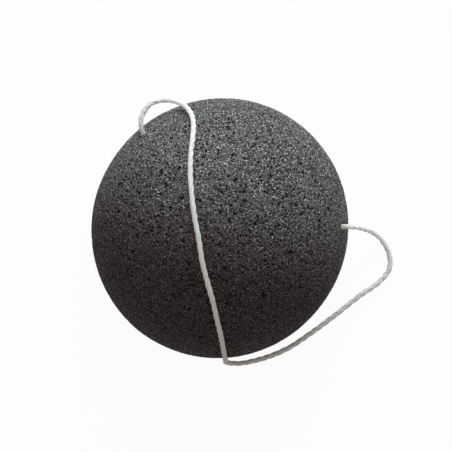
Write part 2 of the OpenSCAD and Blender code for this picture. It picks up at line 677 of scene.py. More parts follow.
@dataclass(frozen=True)
class FoamShape:
    """Outer shape of the moulded foam: a ball's cap on a rounded rim with a flat base.

    Oval is how much longer than the mean the longest radius is, and oval_turn points to it.
    """

    sponge_d: float = 80.0
    sponge_h: float = 40.0
    rim_r: float = 5.0
    oval: float = 0.45
    oval_turn: float = math.radians(57)

    @property
    def rim_x(self) -> float:
        """Distance of the rim tube's middle from the axis."""
        return self.sponge_d / 2 - self.rim_r

    @property
    def ball_r(self) -> float:
        """Radius of the ball whose cap is the dome."""
        crown = self.sponge_h - self.rim_r
        return (self.rim_x**2 + crown**2 - self.rim_r**2) / (2 * (crown - self.rim_r))

    @property
    def ball_z(self) -> float:
        """Height of that ball's middle."""
        return self.sponge_h - self.ball_r

    @property
    def seam_tilt(self) -> float:
        """Angle from the axis at which the ball runs into the rim."""
        return math.atan2(self.rim_x, self.rim_r - self.ball_z)

    @property
    def runs(self) -> tuple[float, float, float]:
        """Measure the outline.

        Returns:
            The distances along it from the crown to the seam, to the base's edge and to
            the base's middle.
        """
        cap = self.ball_r * self.seam_tilt
        rim = self.rim_r * (math.pi - self.seam_tilt)
        return cap, cap + rim, cap + rim + self.rim_x

    def outline(self, run: np.ndarray) -> tuple[np.ndarray, ...]:
        """Trace the outline from the crown down to the middle of the base.

        Args:
            run: distances along the outline.

        Returns:
            For each one the distance from the axis, the height, and the sideways and
            upward parts of the outward normal.
        """
        cap_end, base_start, _ = self.runs
        in_rim = self.seam_tilt + (run - cap_end) / self.rim_r
        tilt = np.where(run < cap_end, run / self.ball_r, np.minimum(in_rim, math.pi))
        out, rise = np.sin(tilt), np.cos(tilt)
        on_cap = run < cap_end
        radius = np.where(on_cap, self.ball_r * out, self.rim_x + self.rim_r * out)
        height = np.where(on_cap, self.ball_z + self.ball_r * rise, self.rim_r * (1 + rise))
        flat = run > base_start
        radius = np.where(flat, self.rim_x - (run - base_start), radius)
        height = np.where(flat, 0.0, height)
        out, rise = np.where(flat, 0.0, out), np.where(flat, -1.0, rise)
        return np.maximum(radius, 0.0), height, out, rise

    def surface(self, run: np.ndarray, turn: np.ndarray) -> tuple[np.ndarray, np.ndarray]:
        """Place points on the slightly oval surface.

        Args:
            run: distances along the outline.
            turn: angles round the axis.

        Returns:
            The points and their outward normals.
        """
        radius, height, out, rise = self.outline(run)
        stretch = 1 + self.oval / self.rim_x * np.cos(2 * (turn - self.oval_turn))
        side = np.stack([np.cos(turn), np.sin(turn), np.zeros_like(turn)], 1)
        points = side * (radius * stretch)[:, None] + UP * height[:, None]
        return points, side * out[:, None] + UP * rise[:, None]


@dataclass(frozen=True)
class Bubbles:
    """One size of the gas bubbles that the surface cuts open.

    Radii and the least gap between two middles are in millimetres. The middles lie from
    shallow to deep under the surface, as shares of the radius.
    """

    radius: float
    spread: float
    gap: float
    shallow: float
    deep: float


def zipped(upper: int, lower: int, phases: tuple[float, float]) -> np.ndarray:
    """Join two rings of points by one band of triangles.

    Args:
        upper: number of points in the ring nearer to the crown.
        lower: number of points in the ring below it.
        phases: the first point's angle in each ring, as a share of its step.

    Returns:
        Triangles as (ring, number) pairs, shaped (faces, 3, 2).
    """
    # The ring whose next point comes first round the axis takes the next triangle.
    next_upper = (np.arange(upper) + 1 + phases[0]) / upper
    next_lower = (np.arange(lower) + 1 + phases[1]) / lower
    order = np.argsort(np.concatenate([next_upper, next_lower]), kind="stable")
    on_upper = order < upper
    i = np.cumsum(on_upper) - on_upper
    j = np.cumsum(~on_upper) - ~on_upper
    first = np.stack([np.zeros_like(i), i % upper], 1)
    second = np.stack([np.ones_like(j), j % lower], 1)
    third = np.where(
        on_upper[:, None],
        np.stack([np.zeros_like(i), (i + 1) % upper], 1),
        np.stack([np.ones_like(j), (j + 1) % lower], 1),
    )
    return np.stack([first, second, third], 1)


def scattered(spots: np.ndarray, gap: float) -> np.ndarray:
    """Thin out random points so that none lies closer than a gap to another.

    Args:
        spots: points in random order.
        gap: the least distance.

    Returns:
        The numbers of the points that stay.
    """
    cells: dict[tuple[int, int, int], list[int]] = {}
    kept: list[int] = []
    keys = np.floor(spots / gap).astype(int)
    near = [(x, y, z) for x in (-1, 0, 1) for y in (-1, 0, 1) for z in (-1, 0, 1)]
    for number, (x, y, z) in enumerate(keys.tolist()):
        spot = spots[number]
        others = [n for dx, dy, dz in near for n in cells.get((x + dx, y + dy, z + dz), ())]
        if others and ((spots[others] - spot) ** 2).sum(1).min() < gap * gap:
            continue
        cells.setdefault((x, y, z), []).append(number)
        kept.append(number)
    return np.array(kept)


def rings_round(
    centres: np.ndarray,
    radius: np.ndarray,
    angle: np.ndarray,
    sides: np.ndarray,
    others: np.ndarray,
) -> np.ndarray:
    """Place a ring of points round each point of a line.

    Args:
        centres: the line's points.
        radius: each ring point's distance from the line.
        angle: its angle from the ring's side direction.
        sides: the side direction at each point of the line.
        others: the direction square to it and to the line.

    Returns:
        The points, shaped (rings, points in a ring, 3).
    """
    return (
        centres[:, None]
        + (radius * np.cos(angle))[..., None] * sides[:, None]
        + (radius * np.sin(angle))[..., None] * others[:, None]
    )


def band_faces(count: int, width: int) -> np.ndarray:
    """Join rings of points by bands of triangles.

    Args:
        count: number of rings.
        width: number of points in each.

    Returns:
        The triangles, band by band.
    """
    k = np.arange(width)
    on = (k + 1) % width
    faces = []
    for low in range(0, (count - 1) * width, width):
        faces.append(np.stack([low + k, low + on, low + width + k], 1))
        faces.append(np.stack([low + on, low + width + on, low + width + k], 1))
    return np.concatenate(faces)


def tube_faces(count: int, width: int) -> np.ndarray:
    """Join rings of points into a closed tube.

    The rings' points come first, ring by ring, then the middle of each end.

    Args:
        count: number of rings.
        width: number of points in each.

    Returns:
        The triangles of the bands, of the first end and of the last end.
    """
    k = np.arange(width)
    on = (k + 1) % width
    last = (count - 1) * width
    first_end = np.stack([on, k, np.full(width, count * width)], 1)
    last_end = np.stack([np.full(width, count * width + 1), last + k, last + on], 1)
    return np.concatenate([band_faces(count, width), first_end, last_end])


def tube_places(across: np.ndarray, along: np.ndarray) -> list[np.ndarray]:
    """Lay a tube's bands out on the bake map.

    Args:
        across: the place of each point of a ring, with one more to close it.
        along: the place of each ring.

    Returns:
        The places of the corners of each row of triangles, in tube_faces' order.
    """
    a, b = across[:-1], across[1:]
    places = []
    for near, far in zip(along[:-1], along[1:]):
        c, d = np.full_like(a, near), np.full_like(a, far)
        for corner in (((a, c), (b, c), (a, d)), ((b, c), (b, d), (a, d))):
            places.append(np.stack([np.stack(pair, 1) for pair in corner], 1))
    return places


def cap_places(middle: np.ndarray, radius: float, width: int) -> np.ndarray:
    """Lay one end of a tube out as a disc on the bake map.

    Args:
        middle: the disc's middle.
        radius: its radius.
        width: number of points in a ring of the tube.

    Returns:
        The places of the corners, in tube_faces' order.
    """
    spin = 2 * math.pi * np.arange(width + 1) / width
    edge = middle + radius * np.stack([np.cos(spin), np.sin(spin)], 1)
    return np.stack([edge[1:], edge[:-1], np.tile(middle, (width, 1))], 1)


@dataclass(frozen=True)
class Channel:
    """The cord's way through the foam: a level arc between the two mouths.

    The straight line between the mouths lies offset from the dome's axis and is turned by
    yaw. The arc turns by bow on each side of its middle, towards the axis, and the free
    loop begins loop_start inside each mouth.
    """

    height: float = 16.0
    offset: float = 16.0
    yaw: float = math.radians(-25)
    bow: float = math.radians(28)
    loop_start: float = 2.0
    shape: FoamShape = field(default_factory=FoamShape)

    @property
    def arc_r(self) -> float:
        """Work out the arc's radius.

        Returns:
            The radius that takes the arc's ends to the dome's surface.
        """
        rise = self.height - self.shape.ball_z
        half_chord = math.sqrt(self.shape.ball_r**2 - rise**2 - self.offset**2)
        return half_chord / math.sin(self.bow)

    @property
    def loop_turn(self) -> float:
        """Turn along the arc at which the free loop begins."""
        return self.bow - self.loop_start / self.arc_r

    @property
    def along(self) -> np.ndarray:
        """Direction of the straight line between the mouths."""
        return np.array([math.cos(self.yaw), math.sin(self.yaw), 0.0])

    @property
    def across(self) -> np.ndarray:
        """Direction from the dome's axis to that line."""
        return np.array([-math.sin(self.yaw), math.cos(self.yaw), 0.0])

    def point(self, turn: float) -> np.ndarray:
        """Return the arc's point at a turn from its middle, positive to the right."""
        out = self.offset + self.arc_r * (math.cos(self.bow) - math.cos(turn))
        return self.height * UP + out * self.across + self.arc_r * math.sin(turn) * self.along

    def heading(self, turn: float) -> np.ndarray:
        """Return the arc's direction at a turn from its middle."""
        return math.cos(turn) * self.along + math.sin(turn) * self.across


@dataclass(frozen=True)
class ThreadedHole:
    """The hole along the channel, with the wider pocket in which the knot lies.

    The map box and the cap's disc are its walls' and ends' places on the bake map.
    """

    channel: Channel
    hole_r: float = 1.0
    pocket_r: float = 3.92
    pocket_half: float = 4.08
    overrun: float = 4.0
    step: float = 0.5
    around: int = 20
    map_box: tuple[float, float, float, float] = (0.78, 0.02, 0.98, 0.56)
    cap_map: tuple[float, float, float] = (0.02, 0.96, 0.01)

    def radius(self, run: np.ndarray) -> np.ndarray:
        """Return the hole's radius at distances from its middle."""
        past = np.clip(np.abs(run) - self.pocket_half, 0, self.pocket_r)
        return np.maximum(np.sqrt(self.pocket_r**2 - past**2), self.hole_r)

    def cutter(self, material: bpy.types.Material) -> bpy.types.Object:
        """Make the closed shape of the air in the hole, a little longer than the hole.

        Args:
            material: the foam's finish, which the cut faces keep.

        Returns:
            An object that only serves to cut.
        """
        reach = self.channel.arc_r * self.channel.bow + self.overrun
        runs = np.linspace(-reach, reach, round(2 * reach / self.step) + 1)
        turns = runs / self.channel.arc_r
        centres = np.array([self.channel.point(turn) for turn in turns])
        ways = np.array([self.channel.heading(turn) for turn in turns])
        sides = np.cross(ways, UP)
        spin = 2 * math.pi * np.arange(self.around) / self.around
        ups = np.tile(UP, (len(runs), 1))
        rings = rings_round(centres, self.radius(runs)[:, None], spin, sides, ups)
        count, width = rings.shape[:2]
        left, low, right, high = self.map_box
        share = np.arange(width + 1) / width
        u = left + (right - left) * share
        v = low + (high - low) * np.arange(count) / (count - 1)
        places = tube_places(u, v)
        u, v, r = self.cap_map
        places += [cap_places(np.array([u, v]), r, width)] * 2
        points = np.concatenate([rings.reshape(-1, 3), centres[[0, -1]]])
        parts = MeshParts()
        parts.add(
            points,
            tube_faces(count, width),
            np.concatenate(places),
            # The hole's walls get the full painted shade.
            pore=np.ones(len(points)),
        )
        return parts.build("channel_air", material)

    def cut_from(self, piece: bpy.types.Object) -> None:
        """Cut the hole out of a piece.

        Args:
            piece: the foam.
        """
        air = self.cutter(piece.data.materials[0])
        cut = piece.modifiers.new("cord_channel", "BOOLEAN")
        cut.operation = "DIFFERENCE"
        cut.solver = "MANIFOLD"
        cut.object = air
        evaluated = piece.evaluated_get(bpy.context.evaluated_depsgraph_get())
        pierced = bpy.data.meshes.new_from_object(evaluated)
        piece.modifiers.clear()
        whole, waste = piece.data, air.data
        piece.data = pierced
        bpy.data.objects.remove(air)
        bpy.data.meshes.remove(whole)
        bpy.data.meshes.remove(waste)


@dataclass
class FoamBody:
    """The sponge: a skin of dried foam whose bubbles are cut open all over.

    Its points lie in loose rings, so that no pattern shows. A lip stands round the cord
    at each mouth, where the foam grips it.
    """

    channel: Channel
    finish: KonjacFoam = field(default_factory=KonjacFoam)
    dome_step: float = 0.22
    base_step: float = 0.36
    fewest: int = 6
    jitter: float = 0.24
    ring_shift: float = 0.9
    dome_map_r: float = 0.375
    base_map_r: float = 0.205
    map_edge: float = 0.005
    bubbles: tuple[Bubbles, ...] = (
        Bubbles(radius=0.33, spread=0.25, gap=0.78, shallow=-0.4, deep=0.5),
        Bubbles(radius=0.42, spread=0.2, gap=3.0, shallow=-0.1, deep=0.5),
        Bubbles(radius=0.58, spread=0.15, gap=11.0, shallow=-0.05, deep=0.4),
    )
    size_range: tuple[float, float] = (0.5, 1.6)
    tries_share: float = 5.0
    deepest: float = 1.0
    darkest: float = 0.8
    softening: float = 0.3
    ripple: float = 0.04
    ripple_mm: float = 0.9
    swell: float = 0.12
    swell_mm: float = 14.0
    lip: float = 0.35
    lip_mm: float = 2.5
    seed: int = 7

    @property
    def shape(self) -> FoamShape:
        """Return the smooth outer shape, which the channel was laid out for."""
        return self.channel.shape

    @property
    def mouths(self) -> list[np.ndarray]:
        """Return the two places at which the cord goes in."""
        return [self.channel.point(turn) for turn in (-self.channel.bow, self.channel.bow)]

    @property
    def skin_area(self) -> float:
        """Measure the smooth skin.

        Returns:
            Its area in square millimetres.
        """
        runs = np.linspace(0, self.shape.runs[-1], AREA_STEPS)
        radii = self.shape.outline(runs)[0]
        return float(2 * math.pi * radii.mean() * runs[-1])

    def grid(self) -> tuple[np.ndarray, np.ndarray, np.ndarray, np.ndarray]:
        """Lay out the points of the skin in rings from the crown to the base's middle.

        Returns:
            Each point's run and turn, the triangles, and whether each is in the base.
        """
        rng = np.random.default_rng(self.seed)
        _, base_start, end = self.shape.runs
        dome_rings = round(base_start / self.dome_step)
        base_rings = round((end - base_start) / self.base_step)
        dome_runs = np.linspace(0, base_start, dome_rings + 1)
        base_runs = np.linspace(base_start, end, base_rings + 1)[1:]
        ring_runs = np.concatenate([dome_runs, base_runs])
        steps = np.where(ring_runs <= base_start, self.dome_step, self.base_step)
        radii = self.shape.outline(ring_runs)[0]
        counts = np.maximum(np.round(2 * math.pi * radii / steps).astype(int), self.fewest)
        counts[[0, -1]] = 1
        starts = np.concatenate([[0], np.cumsum(counts)])
        phases = rng.random(len(counts)) * self.ring_shift
        runs, turns, faces, in_base = [], [], [], []
        for ring, count in enumerate(counts):
            still = ring in (0, dome_rings, len(counts) - 1)
            loose = 0.0 if still else self.jitter
            runs.append(ring_runs[ring] + loose * steps[ring] * rng.uniform(-1, 1, count))
            slots = np.arange(count) + phases[ring] + self.jitter * rng.uniform(-1, 1, count)
            turns.append(slots * 2 * math.pi / count)
            if ring:
                band = zipped(counts[ring - 1], count, (phases[ring - 1], phases[ring]))
                whole = starts[ring - 1 + band[..., 0]] + band[..., 1]
                # The step along a ring of one point makes a flat triangle, which is left out.
                real = (whole != np.roll(whole, 1, axis=1)).all(1)
                faces.append(whole[real])
                in_base.append(np.full(real.sum(), ring > dome_rings))
        return (
            np.concatenate(runs),
            np.concatenate(turns),
            np.concatenate(faces),
            np.concatenate(in_base),
        )

    def map_places(
        self, run: np.ndarray, turn: np.ndarray, faces: np.ndarray, in_base: np.ndarray
    ) -> np.ndarray:
        """Lay the dome and the base out as two discs on the bake map.

        Args:
            run: each point's distance along the outline.
            turn: each point's angle round the axis.
            faces: the triangles.
            in_base: whether each triangle lies in the base.

        Returns:
            The place of each corner.
        """
        _, base_start, end = self.shape.runs
        ray = np.stack([np.cos(turn), np.sin(turn)], 1)
        dome = (self.dome_map_r * run / base_start)[:, None] * ray
        dome += self.dome_map_r + self.map_edge
        base = (self.base_map_r * (end - run) / (end - base_start))[:, None] * ray
        base += 1 - self.base_map_r - self.map_edge
        return np.where(in_base[:, None, None], base[faces], dome[faces])

    def cut(self, points: np.ndarray, inward: np.ndarray, runs: np.ndarray) -> np.ndarray:
        """Measure how deep the open bubbles go at each point.

        Args:
            points: the smooth skin's points.
            inward: their inward normals.
            runs: their distances along the outline. The points lie nearly evenly on the
                skin, and so do the bubbles whose runs are picked from theirs.

        Returns:
            The depth at each point.
        """
        rng = np.random.default_rng(self.seed + 1)
        tree = KDTree(len(points))
        for number, point in enumerate(points):
            tree.insert(point, number)
        tree.balance()
        depth = np.zeros(len(points))
        for kind in self.bubbles:
            tries = int(self.tries_share * self.skin_area / kind.gap**2)
            picked = runs[rng.integers(0, len(runs), tries)]
            turns = rng.uniform(0, 2 * math.pi, tries)
            spots, outward = self.shape.surface(picked, turns)
            sizes = np.clip(rng.normal(1, kind.spread, tries), *self.size_range)
            radii = kind.radius * sizes
            kept = scattered(spots, kind.gap)
            under = rng.uniform(kind.shallow, kind.deep, tries) * radii
            centres = spots - outward * under[:, None]
            for number in kept:
                self.open_ball(tree, points, inward, centres[number], radii[number], depth)
        return self.deepest * np.tanh(depth / self.deepest)

    @staticmethod
    def open_ball(
        tree: KDTree,
        points: np.ndarray,
        inward: np.ndarray,
        centre: np.ndarray,
        radius: float,
        depth: np.ndarray,
    ) -> None:
        """Deepen the skin to the far wall of one ball.

        Args:
            tree: search tree over the skin's points.
            points: the skin's points.
            inward: their inward normals.
            centre: the ball's middle.
            radius: its radius.
            depth: the depths so far, which this call raises.
        """
        near = [number for _, number, _ in tree.find_range(centre, radius)]
        if not near:
            return
        offset = points[near] - centre
        along = (offset * inward[near]).sum(1)
        chord = np.sqrt(np.maximum(along**2 - (offset**2).sum(1) + radius**2, 0))
        depth[near] = np.maximum(depth[near], chord - along)

    def build(self) -> bpy.types.Object:
        """Make the foam and let it stand for its plain solid.

        Returns:
            The sponge's foam piece.
        """
        run, turn, faces, in_base = self.grid()
        points, outward = self.shape.surface(run, turn)
        depth = self.cut(points, -outward, run)
        depth = self.softened(depth, faces)
        uneven = np.array([self.unevenness(Vector(point)) for point in points])
        on_base = run >= self.shape.runs[1]
        uneven = np.where(on_base, -np.abs(uneven), uneven)
        for mouth in self.mouths:
            away = np.linalg.norm(points - mouth, axis=1)
            uneven += self.lip * np.exp(-((away / self.lip_mm) ** 2))
        moved = points + outward * (uneven - depth)[:, None]
        moved[:, 2] = np.maximum(moved[:, 2], 0.0)
        parts = MeshParts()
        # Painted shade: the colour darkens with the depth of the cut bubble, in full from darkest
        # down.
        pore = np.clip(depth / self.darkest, 0, 1)
        parts.add(moved, faces, self.map_places(run, turn, faces, in_base), pore=pore)
        foam = parts.build("konjac_foam_body", self.finish.material())
        ThreadedHole(self.channel).cut_from(foam)
        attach(foam, BODY)
        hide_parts("sponge_body")
        return foam

    def unevenness(self, point: Vector) -> float:
        """Return the skin's slow swell and fine ripple at a point."""
        ripple = self.ripple * noise.noise(point / self.ripple_mm)
        return ripple + self.swell * noise.noise(point / self.swell_mm)

    def softened(self, depth: np.ndarray, faces: np.ndarray) -> np.ndarray:
        """Blend each depth a little with its neighbours, so that cell rims are round.

        Args:
            depth: the depth at each point.
            faces: the triangles.

        Returns:
            The softened depths.
        """
        total = np.zeros_like(depth)
        count = np.zeros_like(depth)
        for a, b in ((0, 1), (1, 2), (2, 0)):
            np.add.at(total, faces[:, a], depth[faces[:, b]])
            np.add.at(count, faces[:, a], 1)
        around = total / np.maximum(count, 1)
        return (1 - self.softening) * depth + self.softening * around


@dataclass(frozen=True)
class CordPath:
    """A smooth line that a stretch of cord follows."""

    centres: np.ndarray
    headings: np.ndarray

    @property
    def runs(self) -> np.ndarray:
        """Distance along the line at each point."""
        gaps = np.linalg.norm(np.diff(self.centres, axis=0), axis=1)
        return np.concatenate([[0.0], np.cumsum(gaps)])

    @property
    def length(self) -> float:
        """Length of the line."""
        return float(self.runs[-1])

    @staticmethod
    def through(
        points: np.ndarray, first: np.ndarray, last: np.ndarray, step: float
    ) -> CordPath:
        """Lay an even smooth line through points.

        Args:
            points: the points, one row each.
            first: heading at the first point.
            last: heading at the last point.
            step: distance between the line's own points.

        Returns:
            The line.
        """
        gaps = np.diff(points, axis=0)
        sizes = np.linalg.norm(gaps, axis=1)
        unit = gaps / sizes[:, None]
        # Each heading leans to its shorter side, as on a circle through three points.
        ways = sizes[1:, None] * unit[:-1] + sizes[:-1, None] * unit[1:]
        ways = ways / np.linalg.norm(ways, axis=1)[:, None]
        ways = np.concatenate([[first], ways, [last]])
        # Cubic pieces join the points with these headings, and are then spaced evenly.
        fine = []
        for i, size in enumerate(sizes):
            count = max(CURVE_PIECES, math.ceil(CURVE_PIECES * size / step))
            s = (np.arange(count) / count)[:, None]
            fine.append(
                (2 * s**3 - 3 * s**2 + 1) * points[i]
                + (3 * s**2 - 2 * s**3) * points[i + 1]
                + size * ((s**3 - 2 * s**2 + s) * ways[i] + (s**3 - s**2) * ways[i + 1])
            )
        line = np.concatenate([*fine, points[-1:]])
        runs = np.concatenate([[0.0], np.cumsum(np.linalg.norm(np.diff(line, axis=0), axis=1))])
        even = np.linspace(0, runs[-1], max(2, math.ceil(runs[-1] / step) + 1))
        centres = np.stack([np.interp(even, runs, line[:, axis]) for axis in range(3)], 1)
        slopes = np.gradient(centres, axis=0)
        slopes[0], slopes[-1] = first, last
        return CordPath(centres, slopes / np.linalg.norm(slopes, axis=1)[:, None])

    def sides(self) -> tuple[np.ndarray, np.ndarray]:
        """Carry two side directions along the line without twist.

        Returns:
            Two unit vectors at each point, square to the line and to each other.
        """
        side = np.cross(self.headings[0], UP)
        carried = []
        for way in self.headings:
            side = side - (side @ way) * way
            side = side / np.linalg.norm(side)
            carried.append(side)
        sides = np.array(carried)
        return sides, np.cross(self.headings, sides)


@dataclass(frozen=True)
class StrayFibres:
    """Loose cotton fibres that stand off the cord.

    Each is a thin three-sided tube that leans along the cord and a little sideways round
    it, rises and droops off it, and curls. The cord's first and last points, bare_ends of
    each, carry none, and a fibre that strays further than reach from the points beside
    its root is left out. Askew keeps a tube's sides from vanishing where it stands
    straight out. The band is the strip at the top of the bake map that holds them all.
    """

    per_mm: float = 2.0
    length: tuple[float, float] = (0.6, 1.9)
    radius: float = 0.02
    taper: float = 0.7
    sideways: float = 0.6
    rise: tuple[float, float] = (0.15, 0.75)
    steep: float = 1.35
    droop: float = 0.6
    curl: float = 0.3
    root_share: float = 0.4
    reach: float = 2.3
    clearance: float = 0.1
    bare_ends: int = 8
    beside: int = 16
    rings: int = 6
    askew: float = 0.01
    band: float = 0.04
    band_start: float = 0.1
    band_edge: float = 0.15
    map_shares: tuple[float, float, float] = (0.0, 0.5, 0.9)

    @property
    def stations(self) -> np.ndarray:
        """Places of the rings along a fibre, as shares of its length."""
        return np.linspace(0, 1, self.rings)

    def draw(
        self,
        rng: np.random.Generator,
        path: CordPath,
        frame: tuple[np.ndarray, np.ndarray],
        diameter: float,
    ) -> tuple[int, np.ndarray, np.ndarray]:
        """Draw one fibre at random.

        Args:
            rng: source of random numbers.
            path: the cord's line.
            frame: its two side directions at each point.
            diameter: the cord's diameter.

        Returns:
            The number of the cord's point at its root, the way out there, and its line.
        """
        sides, others = frame
        at = int(rng.integers(self.bare_ends, len(path.centres) - self.bare_ends))
        spin = rng.uniform(0, 2 * math.pi)
        out = math.cos(spin) * sides[at] + math.sin(spin) * others[at]
        round_way = np.cross(path.headings[at], out)
        length = rng.uniform(*self.length)
        lean = path.headings[at] * rng.normal(0, 1) + round_way * rng.normal(0, self.sideways)
        lean = lean / np.linalg.norm(lean)
        rise = rng.uniform(*self.rise)
        curl = rng.normal(0, self.curl)
        root = path.centres[at] + out * diameter * self.root_share
        s = self.stations[:, None]
        lift = rise * s * (self.steep - self.droop * s)
        return at, out, root + length * (lean * s + out * lift + round_way * curl * s**2)

    def is_clear(self, line: np.ndarray, at: int, path: CordPath, foam: FoamShape) -> bool:
        """Tell whether a fibre keeps near the cord and out of the foam and the board.

        Args:
            line: the fibre's line.
            at: number of the cord's point at its root.
            path: the cord's line.
            foam: the sponge's shape.

        Returns:
            True if it can stay.
        """
        beside = path.centres[max(0, at - self.beside) : at + self.beside + 1]
        apart = np.linalg.norm(line[:, None] - beside, axis=2).min(1)
        ball = foam.ball_z * UP
        outside = np.linalg.norm(line - ball, axis=1) > foam.ball_r + self.clearance
        return bool((outside & (line[:, 2] > self.clearance) & (apart < self.reach)).all())

    def add_one(
        self, parts: MeshParts, line: np.ndarray, out: np.ndarray, order: tuple[int, int]
    ) -> None:
        """Add one fibre.

        Args:
            parts: the mesh that takes it.
            line: its line.
            out: the way out of the cord at its root.
            order: its number, and how many may come.
        """
        number, wanted = order
        ways = np.gradient(line, axis=0)
        ways = ways / np.linalg.norm(ways, axis=1)[:, None]
        flat = np.cross(ways, out + self.askew)
        flat = flat / np.linalg.norm(flat, axis=1)[:, None]
        taper = self.radius * (1 - self.taper * self.stations)
        width = len(self.map_shares)
        spin = 2 * math.pi * np.arange(width) / width
        rings = rings_round(line, taper[:, None], spin, flat, np.cross(ways, flat))
        points = rings.reshape(-1, 3)
        ends = np.array([[2, 1, 0], [-3, -2, -1]]) % len(points)
        faces = np.concatenate([ends, band_faces(self.rings, width)])
        share = (1 - self.band_start) * (number + np.array(self.map_shares)) / wanted
        u = np.tile(self.band_start + share, self.rings)
        rows = (1 - 2 * self.band_edge) * np.arange(self.rings) / (self.rings - 1)
        v = np.repeat(1 - self.band * (1 - self.band_edge - rows), width)
        parts.add(
            points,
            faces,
            np.stack([u[faces], v[faces]], 2),
            lie=np.full((len(points), 3), number * MM),
            groove=np.zeros(len(points)),
            dust=np.zeros(len(points)),
        )

    def add_to(
        self, parts: MeshParts, path: CordPath, diameter: float, seed: int, foam: FoamShape
    ) -> int:
        """Add the fibres of one stretch of cord.

        Args:
            parts: the mesh that takes them.
            path: the cord's line.
            diameter: the cord's diameter.
            seed: seed of their places.
            foam: the sponge's shape, which they stay out of.

        Returns:
            The number of fibres.
        """
        rng = np.random.default_rng(seed)
        frame = path.sides()
        wanted = int(self.per_mm * path.length)
        made = 0
        for number in range(wanted):
            at, out, line = self.draw(rng, path, frame, diameter)
            if self.is_clear(line, at, path, foam):
                self.add_one(parts, line, out, (number, wanted))
                made += 1
        return made


@dataclass
class CottonCord:
    """Three-ply cotton cord that can be laid along any line.

    One turn of the plies takes one lay. Each ply shows over ply_open to both sides of its
    own middle, and packed_share is how far the section is pressed towards a circle. Drift
    is a slow wander of the lay and thick one of the thickness, each from its own row of
    noise. The lie values stretch the fibres' pattern along each ply, at a slant.
    """

    diameter: float = 1.6
    plies: int = 3
    lay: float = 8.4
    twist: Twist = Twist.Z
    ply_points: int = 11
    ply_open: float = math.radians(104)
    packed_share: float = 0.5
    ring_step: float = 0.25
    drift_mm: float = 9.0
    drift_turn: float = 0.5
    drift_row: float = 0.5
    thick_mm: float = 5.0
    thick_share: float = 0.07
    thick_row: float = 8.5
    lie_stretch: float = 9.0
    lie_slant: float = 5.0
    lie_across: float = 0.37
    ply_apart: float = 3.0
    groove_power: int = 3
    dust_share: float = 0.75
    dust_power: float = 0.5
    map_rows: int = 6
    map_gap: float = 0.03
    cap_spots: tuple[float, float] = (0.03, 0.07)
    fibres: StrayFibres = field(default_factory=StrayFibres)
    finish: TwistedCotton = field(default_factory=TwistedCotton)
    dressed: bpy.types.Material | None = None

    def material(self) -> bpy.types.Material:
        """Make the cotton once, at the first call.

        Returns:
            The one material that all stretches share.
        """
        if self.dressed is None:
            self.dressed = self.finish.material()
        return self.dressed

    def section(self) -> tuple[np.ndarray, np.ndarray, np.ndarray]:
        """Draw the cord's section as the outside of three plies, pressed a little round.

        Returns:
            Each point's angle and distance from the middle, and its angle round its ply.
        """
        out = self.diameter / 2 / (1 + math.sin(math.pi / self.plies))
        ply_r = self.diameter / 2 - out
        around = np.linspace(-self.ply_open, self.ply_open, self.ply_points)
        x = out + ply_r * np.cos(around)
        y = ply_r * np.sin(around)
        turns = np.concatenate(
            [np.arctan2(y, x) + 2 * math.pi * ply / self.plies for ply in range(self.plies)]
        )
        reach = (1 - self.packed_share) * np.hypot(x, y) + self.packed_share * self.diameter / 2
        return turns, np.tile(reach, self.plies), np.tile(around, self.plies)

    def map_places(self, count: int, width: int) -> np.ndarray:
        """Lay the cord's skin out in rows on the bake map, with its ends in the top strip.

        Args:
            count: number of rings.
            width: number of points in each.

        Returns:
            The place of each corner, in tube_faces' order.
        """
        per_row = math.ceil((count - 1) / self.map_rows)
        tall = (1 - self.fibres.band) / self.map_rows
        share = (1 - 2 * self.map_gap) * np.arange(width + 1) / width
        places = []
        for row in range(self.map_rows):
            steps = min(per_row, count - 1 - row * per_row)
            along = np.arange(steps + 1) / per_row
            across = (row + self.map_gap + share) * tall
            # The cord's length runs across the map and its girth up it.
            places += [band[..., ::-1] for band in tube_places(across, along)]
        for middle in self.cap_spots:
            spot = np.array([middle, 1 - self.fibres.band / 2])
            places.append(cap_places(spot, self.fibres.band / 3, width))
        return np.concatenate(places)

    def skin_values(
        self, path: CordPath, around: np.ndarray, greyed_ends: tuple[float, float]
    ) -> dict[str, np.ndarray]:
        """Work out what the finish reads at each point.

        Args:
            path: the cord's line.
            around: each section point's angle round its ply.
            greyed_ends: how far from the first and last end the cord is greyed.

        Returns:
            The fibres' own place, how deep in a groove the point lies for the painted shade, and
            how grey it is near the ends.
        """
        runs = path.runs
        lie = np.zeros((len(runs), len(around), 3))
        lie[..., 0] = (runs / self.lie_stretch)[:, None]
        slant = self.twist.value * runs[:, None] / self.lie_slant
        lie[..., 1] = around * self.lie_across - slant
        lie[..., 2] = np.repeat(np.arange(self.plies), self.ply_points) * self.ply_apart
        lie = np.concatenate([lie.reshape(-1, 3), np.zeros((2, 3))]) * MM
        # Painted shade: the nearer a point lies to the edge of its ply, the deeper it lies in the
        # groove's shade.
        groove = np.tile(np.abs(around) / self.ply_open, len(runs)) ** self.groove_power
        near = np.maximum(
            1 - runs / max(greyed_ends[0], self.ring_step),
            1 - (path.length - runs) / max(greyed_ends[1], self.ring_step),
        )
        dust = self.dust_share * np.clip(near, 0, 1) ** self.dust_power
        dust = np.concatenate([np.repeat(dust, len(around)), dust[[0, -1]]])
        return {"lie": lie, "groove": np.concatenate([groove, [0.0, 0.0]]), "dust": dust}

    def lay_along(
        self, parts: MeshParts, path: CordPath, seed: int, greyed_ends: tuple[float, float] = (0, 0)
    ) -> None:
        """Sweep the twisted section along a line, with a flat cap at each end.

        Args:
            parts: the mesh that takes the cord.
            path: the line.
            seed: seed of the cord's small unevenness.
            greyed_ends: how far from the first and last end it is greyed.
        """
        runs = path.runs

        def wander(row: float, size: float) -> np.ndarray:
            """Return smooth noise along the line."""
            return np.array([noise.noise(Vector((run / size, seed, row))) for run in runs])

